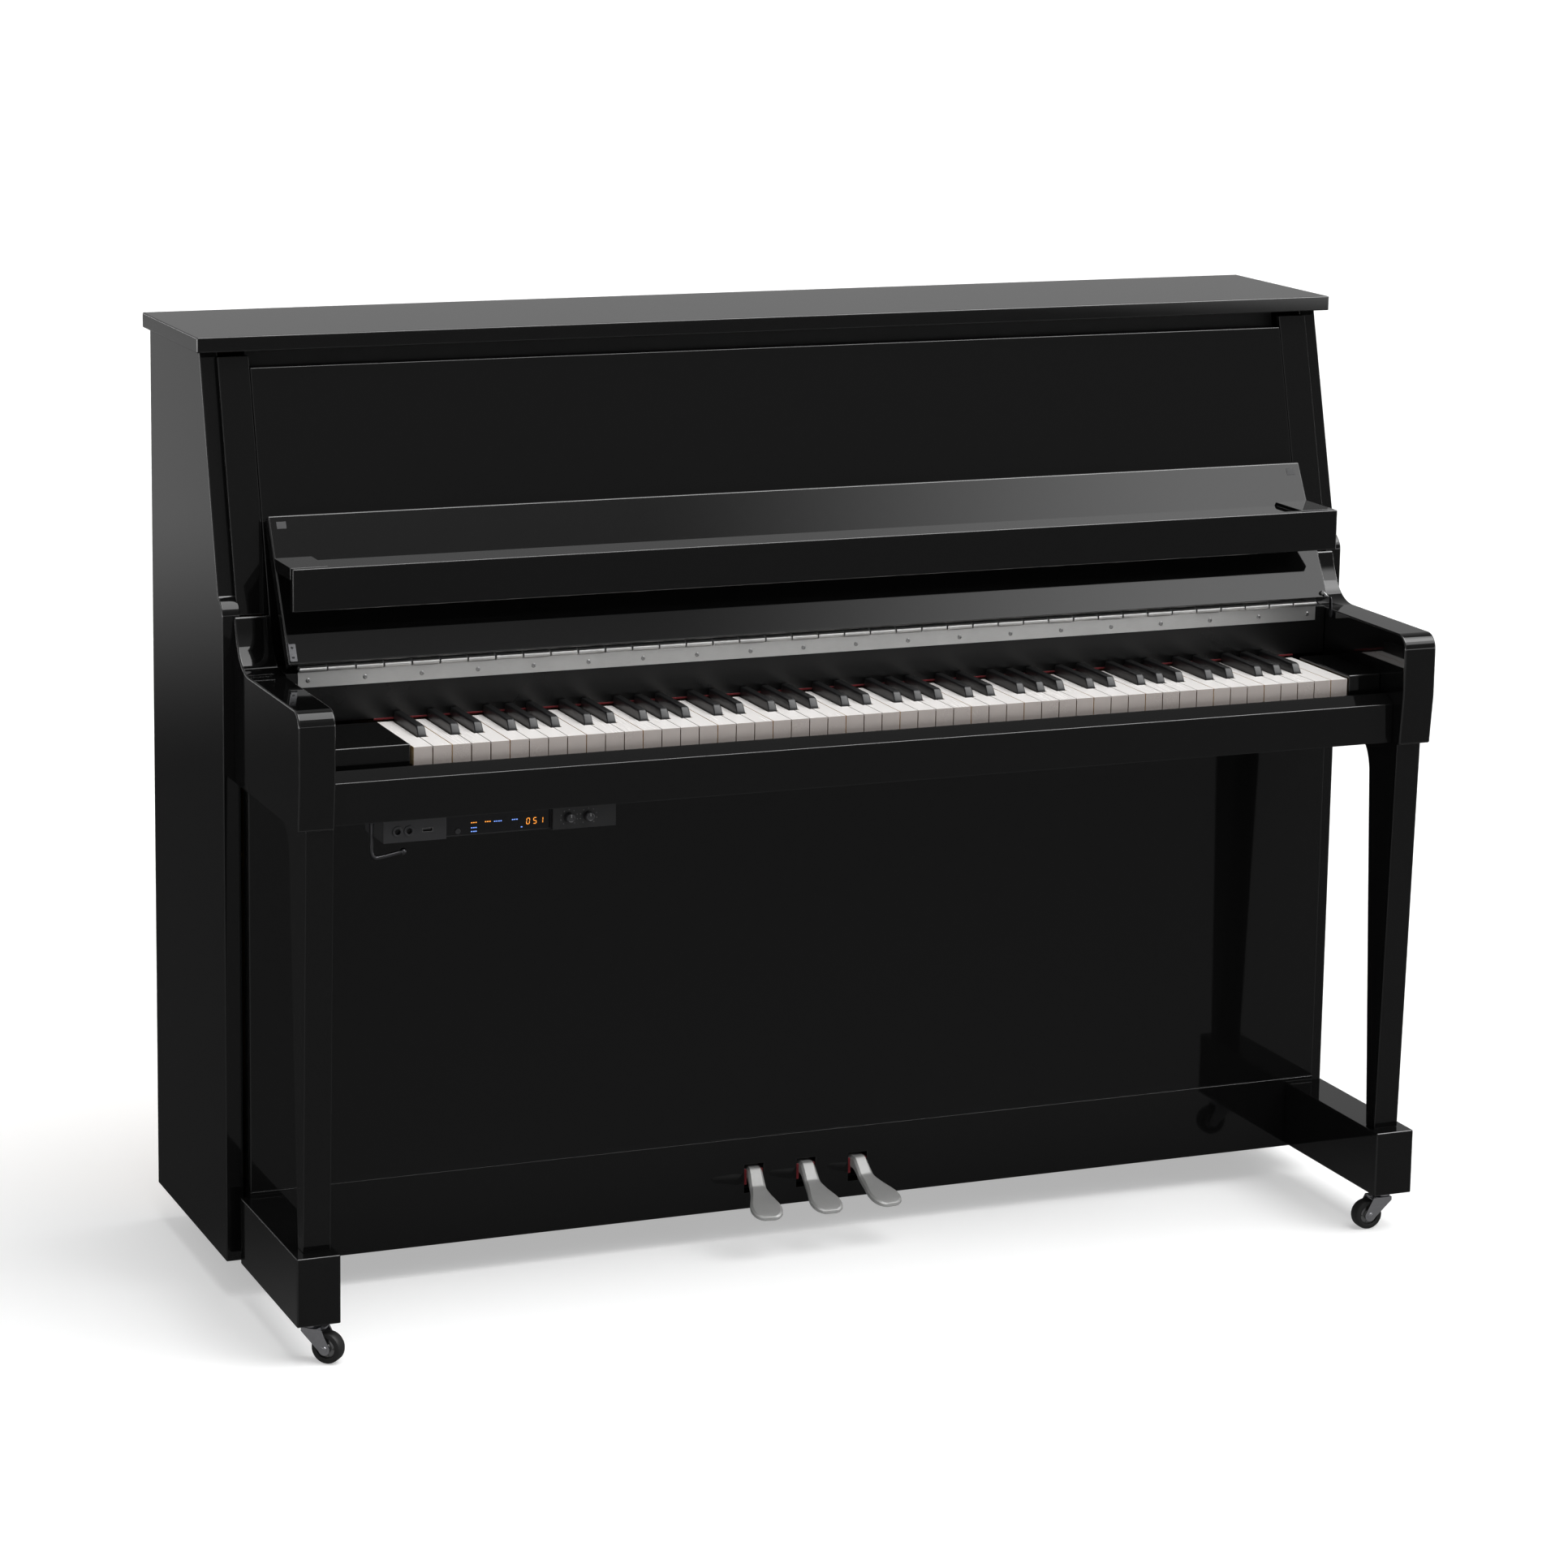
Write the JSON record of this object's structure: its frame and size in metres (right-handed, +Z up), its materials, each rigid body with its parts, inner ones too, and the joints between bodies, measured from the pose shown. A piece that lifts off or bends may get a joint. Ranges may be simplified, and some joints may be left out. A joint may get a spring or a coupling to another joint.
{
  "type": "upright piano",
  "caption": "Upright piano with a hinged lid, a folding keyboard cover and music ledge, moving keys, pedals, casters and a headphone control unit under the keybed.",
  "frame": {"origin": "on the floor under the middle of the overall box", "axes": "+X to the treble end, +Y to the back of the case, +Z up; the player sits on the -Y side"},
  "size_m": [1.515, 0.59, 1.16],
  "materials": {
    "polished_ebony": "black polyester lacquer, polished to a mirror",
    "black_wood": "black paint, flat",
    "black_plastic": "satin moulded",
    "key_white": "smooth acrylic key tops with warm grey fronts",
    "sharp_black": "satin black",
    "satin_nickel": "satin nickel plate",
    "pedal_metal": "cast, satin nickel plate",
    "steel": "plain steel",
    "chrome": "bright plate",
    "wheel_rubber": "hard rubber tread",
    "beech": "clear satin lacquer",
    "spruce": "clear satin varnish",
    "bronzed_iron": "bronze paint",
    "red_felt": "pressed wool felt",
    "hammer_felt": "pressed white wool felt",
    "string_steel": "bare music wire",
    "string_copper": "copper winding",
    "screen_glass": "smoked screen",
    "lamp": "lit indicator"
  },
  "bodies": {
    "case": {"side_panel_left": "polished_ebony", "side_panel_right": "polished_ebony", "bottom_board": "black_wood", "upper_panel": "polished_ebony", "stile_left": "polished_ebony", "stile_right": "polished_ebony", "lower_panel": "polished_ebony", "lid_hinge_case_leaf": "satin_nickel", "arm_left": "polished_ebony", "arm_right": "polished_ebony", "leg_left": "polished_ebony", "leg_right": "polished_ebony", "toe_block_left": "polished_ebony", "toe_block_right": "polished_ebony", "keybed": "black_wood", "keyslip": "polished_ebony", "key_block_left": "polished_ebony", "key_block_right": "polished_ebony", "nameboard": "polished_ebony", "key_frame": "beech", "fallboard_hinge_case_leaf": "satin_nickel", "bottom_rail": "polished_ebony", "pedal_bracket": "steel", "control_unit": "black_plastic", "headphone_hanger": "steel", "back_frame": "beech", "soundboard": "spruce", "pin_block": "beech", "iron_plate": "bronzed_iron", "action_frame": "beech"},
    "lid": {"top_lid": "polished_ebony", "lid_hinge_lid_leaf": "satin_nickel"},
    "fallboard": {"fallboard": "polished_ebony", "fallboard_hinge_board_leaf": "satin_nickel"},
    "music_ledge": {"music_shelf": "polished_ebony", "shelf_lip": "polished_ebony"},
    "key_a0_body": {"key_a0": "key_white"},
    "key_a_sharp_0_body": {"key_a_sharp_0": "sharp_black"},
    "key_b0_body": {"key_b0": "key_white"},
    "key_c1_body": {"key_c1": "key_white"},
    "key_c_sharp_1_body": {"key_c_sharp_1": "sharp_black"},
    "key_d1_body": {"key_d1": "key_white"},
    "key_d_sharp_1_body": {"key_d_sharp_1": "sharp_black"},
    "key_e1_body": {"key_e1": "key_white"},
    "white_key_set": {"white_keys": "key_white"},
    "black_key_set": {"black_keys": "sharp_black"},
    "pedal_left_body": {"pedal_left": "pedal_metal"},
    "pedal_middle_body": {"pedal_middle": "pedal_metal"},
    "pedal_right_body": {"pedal_right": "pedal_metal"},
    "front_left_swivel": {"caster_front_left_fork": "chrome"},
    "front_left_roller": {"caster_front_left_wheel": "wheel_rubber"},
    "front_right_swivel": {"caster_front_right_fork": "chrome"},
    "front_right_roller": {"caster_front_right_wheel": "wheel_rubber"},
    "rear_left_swivel": {"caster_rear_left_fork": "chrome"},
    "rear_left_roller": {"caster_rear_left_wheel": "wheel_rubber"},
    "rear_right_swivel": {"caster_rear_right_fork": "chrome"},
    "rear_right_roller": {"caster_rear_right_wheel": "wheel_rubber"},
    "volume_knob_body": {"volume_knob": "black_plastic"},
    "level_knob_body": {"level_knob": "black_plastic"},
    "power_button_body": {"power_button": "black_plastic"}
  },
  "joints": [
    {"name": "lid_hinge", "type": "hinge", "parent": "case", "child": "lid", "pos_m": [0, 0.292, 1.138], "axis": [-1, 0, 0], "range_deg": [0, 95]},
    {"name": "fallboard_hinge", "type": "hinge", "parent": "case", "child": "fallboard", "pos_m": [0, -0.09629, 0.784], "axis": [1, 0, 0], "range_deg": [0, 133.6]},
    {"name": "ledge_fold", "type": "hinge", "parent": "fallboard", "child": "music_ledge", "pos_m": [0, -0.04069, 0.9077], "axis": [1, 0, 0], "range_deg": [-118.61, 0]},
    {"name": "key_a0_press", "type": "hinge", "parent": "case", "child": "key_a0_body", "pos_m": [0, -0.008, 0.6934], "axis": [1, 0, 0], "range_deg": [0, 2.5], "stiffness_Nm_per_rad": 2, "springref_deg": -4.58},
    {"name": "key_a_sharp_0_press", "type": "hinge", "parent": "case", "child": "key_a_sharp_0_body", "pos_m": [0, -0.008, 0.6934], "axis": [1, 0, 0], "range_deg": [0, 2.5], "stiffness_Nm_per_rad": 1.5, "springref_deg": -4.58},
    {"name": "key_b0_press", "type": "hinge", "parent": "case", "child": "key_b0_body", "pos_m": [0, -0.008, 0.6934], "axis": [1, 0, 0], "range_deg": [0, 2.5], "stiffness_Nm_per_rad": 2, "springref_deg": -4.58},
    {"name": "key_c1_press", "type": "hinge", "parent": "case", "child": "key_c1_body", "pos_m": [0, -0.008, 0.6934], "axis": [1, 0, 0], "range_deg": [0, 2.5], "stiffness_Nm_per_rad": 2, "springref_deg": -4.58},
    {"name": "key_c_sharp_1_press", "type": "hinge", "parent": "case", "child": "key_c_sharp_1_body", "pos_m": [0, -0.008, 0.6934], "axis": [1, 0, 0], "range_deg": [0, 2.5], "stiffness_Nm_per_rad": 1.5, "springref_deg": -4.58},
    {"name": "key_d1_press", "type": "hinge", "parent": "case", "child": "key_d1_body", "pos_m": [0, -0.008, 0.6934], "axis": [1, 0, 0], "range_deg": [0, 2.5], "stiffness_Nm_per_rad": 2, "springref_deg": -4.58},
    {"name": "key_d_sharp_1_press", "type": "hinge", "parent": "case", "child": "key_d_sharp_1_body", "pos_m": [0, -0.008, 0.6934], "axis": [1, 0, 0], "range_deg": [0, 2.5], "stiffness_Nm_per_rad": 1.5, "springref_deg": -4.58},
    {"name": "key_e1_press", "type": "hinge", "parent": "case", "child": "key_e1_body", "pos_m": [0, -0.008, 0.6934], "axis": [1, 0, 0], "range_deg": [0, 2.5], "stiffness_Nm_per_rad": 2, "springref_deg": -4.58},
    {"name": "white_keys_press", "type": "hinge", "parent": "case", "child": "white_key_set", "pos_m": [0, -0.008, 0.6934], "axis": [1, 0, 0], "range_deg": [0, 2.5], "stiffness_Nm_per_rad": 94, "springref_deg": -4.58},
    {"name": "black_keys_press", "type": "hinge", "parent": "case", "child": "black_key_set", "pos_m": [0, -0.008, 0.6934], "axis": [1, 0, 0], "range_deg": [0, 2.5], "stiffness_Nm_per_rad": 50, "springref_deg": -4.58},
    {"name": "pedal_left_press", "type": "hinge", "parent": "case", "child": "pedal_left_body", "pos_m": [-0.071, 0.04, 0.088], "axis": [1, 0, 0], "range_deg": [0, 6.5], "stiffness_Nm_per_rad": 8, "springref_deg": -17.19},
    {"name": "pedal_middle_press", "type": "hinge", "parent": "case", "child": "pedal_middle_body", "pos_m": [0, 0.04, 0.088], "axis": [1, 0, 0], "range_deg": [0, 6.5], "stiffness_Nm_per_rad": 8, "springref_deg": -17.19},
    {"name": "pedal_right_press", "type": "hinge", "parent": "case", "child": "pedal_right_body", "pos_m": [0.071, 0.04, 0.088], "axis": [1, 0, 0], "range_deg": [0, 6.5], "stiffness_Nm_per_rad": 8, "springref_deg": -17.19},
    {"name": "front_left_caster_swivel", "type": "hinge", "parent": "case", "child": "front_left_swivel", "pos_m": [-0.71065, -0.259, 0.042], "axis": [0, 0, 1], "continuous": true},
    {"name": "front_left_wheel_roll", "type": "hinge", "parent": "front_left_swivel", "child": "front_left_roller", "pos_m": [-0.6958, -0.27385, 0.019], "axis": [0.7071, 0.7071, 0], "continuous": true},
    {"name": "front_right_caster_swivel", "type": "hinge", "parent": "case", "child": "front_right_swivel", "pos_m": [0.71065, -0.259, 0.042], "axis": [0, 0, 1], "continuous": true},
    {"name": "front_right_wheel_roll", "type": "hinge", "parent": "front_right_swivel", "child": "front_right_roller", "pos_m": [0.68965, -0.259, 0.019], "axis": [0, -1, 0], "continuous": true},
    {"name": "rear_left_caster_swivel", "type": "hinge", "parent": "case", "child": "rear_left_swivel", "pos_m": [-0.64, 0.24, 0.042], "axis": [0, 0, 1], "continuous": true},
    {"name": "rear_left_wheel_roll", "type": "hinge", "parent": "rear_left_swivel", "child": "rear_left_roller", "pos_m": [-0.64, 0.219, 0.019], "axis": [1, 0, 0], "continuous": true},
    {"name": "rear_right_caster_swivel", "type": "hinge", "parent": "case", "child": "rear_right_swivel", "pos_m": [0.64, 0.24, 0.042], "axis": [0, 0, 1], "continuous": true},
    {"name": "rear_right_wheel_roll", "type": "hinge", "parent": "rear_right_swivel", "child": "rear_right_roller", "pos_m": [0.64, 0.219, 0.019], "axis": [1, 0, 0], "continuous": true},
    {"name": "volume_knob_turn", "type": "hinge", "parent": "case", "child": "volume_knob_body", "pos_m": [-0.399, -0.266, 0.62395], "axis": [0, -1, 0], "range_deg": [-140, 140]},
    {"name": "level_knob_turn", "type": "hinge", "parent": "case", "child": "level_knob_body", "pos_m": [-0.375, -0.266, 0.62395], "axis": [0, -1, 0], "range_deg": [-140, 140]},
    {"name": "power_button_press", "type": "slide", "parent": "case", "child": "power_button_body", "axis": [0, 1, 0], "range_m": [0, 0.0015], "stiffness_N_per_m": 400, "springref_m": -0.001}
  ],
  "couplings": [
    {"joint": "ledge_fold", "follows": "fallboard_hinge", "ratio": -0.88772}
  ]
}
